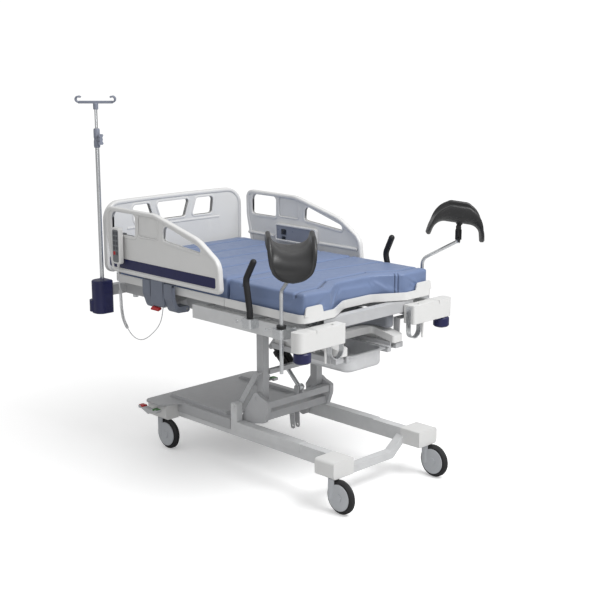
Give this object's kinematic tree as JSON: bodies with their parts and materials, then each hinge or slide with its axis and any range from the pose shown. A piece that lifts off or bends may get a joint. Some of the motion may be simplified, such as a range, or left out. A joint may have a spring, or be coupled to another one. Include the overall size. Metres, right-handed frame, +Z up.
{
  "type": "gynaecological examination bed",
  "caption": "Electric gynaecological and birthing bed with lifting base, reclining back, side rails, leg supports, hand grips, basin and infusion pole",
  "frame": {"origin": "on the floor midway between the four castor wheels, on the symmetry plane", "axes": "+X to the foot end, +Y to the far side rail, +Z up"},
  "size_m": [1.6297, 1.421, 1.717],
  "materials": {
    "paint_grey": "smooth",
    "paint_light": "smooth",
    "plastic_white": "smooth",
    "plastic_grey": "fine",
    "plastic_black": "fine",
    "plastic_navy": "fine",
    "plastic_slate": "fine",
    "plastic_red": "smooth",
    "upholstery_blue": "fine grain",
    "upholstery_grey": "fine grain",
    "pu_black": "fine",
    "tyre_black": "fine",
    "steel": "brushed",
    "chrome": "polished"
  },
  "bodies": {
    "base": {"base_frame": "paint_grey", "base_cover": "plastic_grey", "rail_covers": "plastic_grey", "corner_caps": "plastic_white"},
    "brake": {"brake_bar": "paint_grey"},
    "arms": {"lift_arms": "paint_grey"},
    "links": {"lift_links": "paint_grey"},
    "bed": {"upper_frame": "paint_grey", "side_beams": "paint_light", "foot_arms": "plastic_white", "foot_hooks": "steel", "corner_bumpers": "plastic_navy", "rail_clamps": "paint_light", "seat_tray": "plastic_white", "seat_cushion": "upholstery_blue", "iv_lower_tube": "steel"},
    "lift_barrel": {"lift_motor": "plastic_black"},
    "lift_piston": {"lift_rod": "chrome"},
    "carriage": {"back_carriage": "paint_grey"},
    "back": {"backrest_frame": "paint_grey", "back_tray": "plastic_white", "back_cushion": "upholstery_blue"},
    "back_barrel": {"back_motor": "plastic_black"},
    "back_piston": {"back_rod": "chrome"},
    "headboard": {"headboard": "plastic_white"},
    "iv_mast": {"iv_upper_tube": "chrome"},
    "iv_lock": {"iv_knob": "plastic_black"},
    "leg_rest": {"leg_section": "plastic_white", "leg_cushion": "upholstery_grey"},
    "bowl": {"basin": "steel"},
    "swivel_head_near": {"castor_fork_head_near": "plastic_grey"},
    "wheel_head_near": {"castor_wheel_head_near": "tyre_black"},
    "swivel_head_far": {"castor_fork_head_far": "plastic_grey"},
    "wheel_head_far": {"castor_wheel_head_far": "tyre_black"},
    "swivel_foot_near": {"castor_fork_foot_near": "plastic_grey"},
    "wheel_foot_near": {"castor_wheel_foot_near": "tyre_black"},
    "swivel_foot_far": {"castor_fork_foot_far": "plastic_grey"},
    "wheel_foot_far": {"castor_wheel_foot_far": "tyre_black"},
    "swing_near": {"swing_arms_near": "plastic_slate"},
    "rail_near": {"side_rail_near": "plastic_white", "handset": "plastic_grey", "cord_tube": "plastic_black", "cord_coil": "plastic_black"},
    "release_near": {"release_handle_near": "plastic_red"},
    "roller_near": {"foot_roller_near": "plastic_navy"},
    "hand_grip_near": {"grip_near": "plastic_black"},
    "leg_bush_near": {"leg_bush_near": "plastic_black"},
    "leg_rod_near": {"leg_rod_near": "steel"},
    "leg_joint_near": {"leg_joint_near": "plastic_black"},
    "leg_pad_near": {"leg_pad_near": "pu_black"},
    "swing_far": {"swing_arms_far": "plastic_slate"},
    "rail_far": {"side_rail_far": "plastic_white", "control_panel": "plastic_slate"},
    "release_far": {"release_handle_far": "plastic_red"},
    "roller_far": {"foot_roller_far": "plastic_navy"},
    "hand_grip_far": {"grip_far": "plastic_black"},
    "leg_bush_far": {"leg_bush_far": "plastic_black"},
    "leg_rod_far": {"leg_rod_far": "steel"},
    "leg_joint_far": {"leg_joint_far": "plastic_black"},
    "leg_pad_far": {"leg_pad_far": "pu_black"}
  },
  "joints": [
    {"name": "castor_swivel_head_near", "type": "hinge", "parent": "base", "child": "swivel_head_near", "pos_m": [-0.6275, -0.313, 0.152], "axis": [0, 0, 1], "continuous": true},
    {"name": "castor_spin_head_near", "type": "hinge", "parent": "swivel_head_near", "child": "wheel_head_near", "pos_m": [-0.5825, -0.313, 0.075], "axis": [0, 1, 0], "continuous": true},
    {"name": "castor_swivel_head_far", "type": "hinge", "parent": "base", "child": "swivel_head_far", "pos_m": [-0.6275, 0.313, 0.152], "axis": [0, 0, 1], "continuous": true},
    {"name": "castor_spin_head_far", "type": "hinge", "parent": "swivel_head_far", "child": "wheel_head_far", "pos_m": [-0.5825, 0.313, 0.075], "axis": [0, 1, 0], "continuous": true},
    {"name": "castor_swivel_foot_near", "type": "hinge", "parent": "base", "child": "swivel_foot_near", "pos_m": [0.5375, -0.313, 0.152], "axis": [0, 0, 1], "continuous": true},
    {"name": "castor_spin_foot_near", "type": "hinge", "parent": "swivel_foot_near", "child": "wheel_foot_near", "pos_m": [0.5825, -0.313, 0.075], "axis": [0, 1, 0], "continuous": true},
    {"name": "castor_swivel_foot_far", "type": "hinge", "parent": "base", "child": "swivel_foot_far", "pos_m": [0.5375, 0.313, 0.152], "axis": [0, 0, 1], "continuous": true},
    {"name": "castor_spin_foot_far", "type": "hinge", "parent": "swivel_foot_far", "child": "wheel_foot_far", "pos_m": [0.5825, 0.313, 0.075], "axis": [0, 1, 0], "continuous": true},
    {"name": "brake_pedal", "type": "hinge", "parent": "base", "child": "brake", "pos_m": [-0.626, 0, 0.197], "axis": [0, 1, 0], "range_deg": [-12, 12]},
    {"name": "lift_arm", "type": "hinge", "parent": "base", "child": "arms", "pos_m": [-0.16, 0, 0.18], "axis": [0, 1, 0], "range_deg": [-24, 38]},
    {"name": "frame_level", "type": "hinge", "parent": "arms", "child": "bed", "pos_m": [-0.046, 0, 0.35], "axis": [0, 1, 0], "range_deg": [-38, 24]},
    {"name": "link_swing", "type": "hinge", "parent": "base", "child": "links", "pos_m": [-0.15, 0, 0.302], "axis": [0, 1, 0], "range_deg": [-24, 38]},
    {"name": "lift_motor_swing", "type": "hinge", "parent": "bed", "child": "lift_barrel", "pos_m": [-0.16, 0, 0.54], "axis": [0, 1, 0], "range_deg": [-3.7, 5.86]},
    {"name": "lift_rod_stroke", "type": "slide", "parent": "lift_barrel", "child": "lift_piston", "axis": [0.7272, 0, -0.6864], "range_m": [-0.02356, 0.0373]},
    {"name": "backrest", "type": "hinge", "parent": "carriage", "child": "back", "pos_m": [-0.04, 0, 0.812], "axis": [0, 1, 0], "range_deg": [0, 65]},
    {"name": "back_carriage_slide", "type": "slide", "parent": "bed", "child": "carriage", "axis": [-1, 0, 0], "range_m": [0, 0.15542]},
    {"name": "back_motor_swing", "type": "hinge", "parent": "carriage", "child": "back_barrel", "pos_m": [-0.02, 0, 0.72], "axis": [0, 1, 0], "range_deg": [0, 48.65]},
    {"name": "back_rod_stroke", "type": "slide", "parent": "back_barrel", "child": "back_piston", "axis": [-0.9567, 0, 0.2912], "range_m": [0, 0.06673]},
    {"name": "rail_swing_near", "type": "hinge", "parent": "bed", "child": "swing_near", "pos_m": [0, -0.372, 0.752], "axis": [1, 0, 0], "range_deg": [0, 110]},
    {"name": "rail_level_near", "type": "hinge", "parent": "swing_near", "child": "rail_near", "pos_m": [0, -0.454, 0.868], "axis": [1, 0, 0], "range_deg": [-110, 0]},
    {"name": "rail_release_near", "type": "hinge", "parent": "rail_near", "child": "release_near", "pos_m": [0, -0.454, 0.751], "axis": [1, 0, 0], "range_deg": [-14, 0], "stiffness_Nm_per_rad": 0.4},
    {"name": "foot_roller_near", "type": "hinge", "parent": "bed", "child": "roller_near", "pos_m": [0.49, -0.454, 0.696], "axis": [0, 0, 1], "continuous": true},
    {"name": "grip_swivel_near", "type": "hinge", "parent": "bed", "child": "hand_grip_near", "pos_m": [0.175, -0.455, 0.79], "axis": [0, 0, 1], "range_deg": [-60, 60]},
    {"name": "leg_swivel_near", "type": "hinge", "parent": "bed", "child": "leg_bush_near", "pos_m": [0.4, -0.485, 0.79], "axis": [0, 0, 1], "range_deg": [-50, 40]},
    {"name": "leg_height_near", "type": "slide", "parent": "leg_bush_near", "child": "leg_rod_near", "axis": [0, 0, 1], "range_m": [-0.06, 0.14]},
    {"name": "leg_joint_turn_near", "type": "hinge", "parent": "leg_rod_near", "child": "leg_joint_near", "pos_m": [0.54143, -0.56998, 1.078], "axis": [0, 0, 1], "range_deg": [-60, 60]},
    {"name": "leg_pad_tilt_near", "type": "hinge", "parent": "leg_joint_near", "child": "leg_pad_near", "pos_m": [0.54143, -0.56998, 1.122], "axis": [0.6428, 0.766, 0], "range_deg": [-30, 15]},
    {"name": "rail_swing_far", "type": "hinge", "parent": "bed", "child": "swing_far", "pos_m": [0, 0.372, 0.752], "axis": [-1, 0, 0], "range_deg": [0, 110]},
    {"name": "rail_level_far", "type": "hinge", "parent": "swing_far", "child": "rail_far", "pos_m": [0, 0.454, 0.868], "axis": [-1, 0, 0], "range_deg": [-110, 0]},
    {"name": "rail_release_far", "type": "hinge", "parent": "rail_far", "child": "release_far", "pos_m": [0, 0.454, 0.751], "axis": [-1, 0, 0], "range_deg": [-14, 0], "stiffness_Nm_per_rad": 0.4},
    {"name": "foot_roller_far", "type": "hinge", "parent": "bed", "child": "roller_far", "pos_m": [0.49, 0.454, 0.696], "axis": [0, 0, 1], "continuous": true},
    {"name": "grip_swivel_far", "type": "hinge", "parent": "bed", "child": "hand_grip_far", "pos_m": [0.175, 0.455, 0.79], "axis": [0, 0, 1], "range_deg": [-60, 60]},
    {"name": "leg_swivel_far", "type": "hinge", "parent": "bed", "child": "leg_bush_far", "pos_m": [0.345, 0.485, 0.79], "axis": [0, 0, 1], "range_deg": [-40, 50]},
    {"name": "leg_height_far", "type": "slide", "parent": "leg_bush_far", "child": "leg_rod_far", "axis": [0, 0, 1], "range_m": [-0.06, 0.14]},
    {"name": "leg_joint_turn_far", "type": "hinge", "parent": "leg_rod_far", "child": "leg_joint_far", "pos_m": [0.48643, 0.56998, 1.078], "axis": [0, 0, 1], "range_deg": [-60, 60]},
    {"name": "leg_pad_tilt_far", "type": "hinge", "parent": "leg_joint_far", "child": "leg_pad_far", "pos_m": [0.48643, 0.56998, 1.122], "axis": [-0.6428, 0.766, 0], "range_deg": [-30, 15]},
    {"name": "headboard_lift", "type": "slide", "parent": "bed", "child": "headboard", "axis": [0, 0, 1], "range_m": [0, 0.2]},
    {"name": "iv_height", "type": "slide", "parent": "bed", "child": "iv_mast", "axis": [0, 0, 1], "range_m": [0, 0.45]},
    {"name": "iv_knob_turn", "type": "hinge", "parent": "bed", "child": "iv_lock", "pos_m": [-0.859, -0.47, 1.507], "axis": [1, 0, 0], "range_deg": [-180, 180]},
    {"name": "leg_section_slide", "type": "slide", "parent": "bed", "child": "leg_rest", "axis": [1, 0, 0], "range_m": [0, 0.3]},
    {"name": "basin_slide", "type": "slide", "parent": "bed", "child": "bowl", "axis": [1, 0, 0], "range_m": [0, 0.3]}
  ],
  "couplings": [
    {"joint": "frame_level", "follows": "lift_arm", "ratio": -1},
    {"joint": "link_swing", "follows": "lift_arm", "ratio": 1},
    {"joint": "lift_motor_swing", "follows": "lift_arm", "ratio": 0.1541},
    {"joint": "lift_rod_stroke", "follows": "lift_arm", "m_per_rad": 0.05624},
    {"joint": "back_carriage_slide", "follows": "backrest", "m_per_rad": 0.137},
    {"joint": "back_motor_swing", "follows": "backrest", "ratio": 0.7484},
    {"joint": "back_rod_stroke", "follows": "backrest", "m_per_rad": 0.05882},
    {"joint": "rail_level_near", "follows": "rail_swing_near", "ratio": -1},
    {"joint": "rail_level_far", "follows": "rail_swing_far", "ratio": -1}
  ]
}
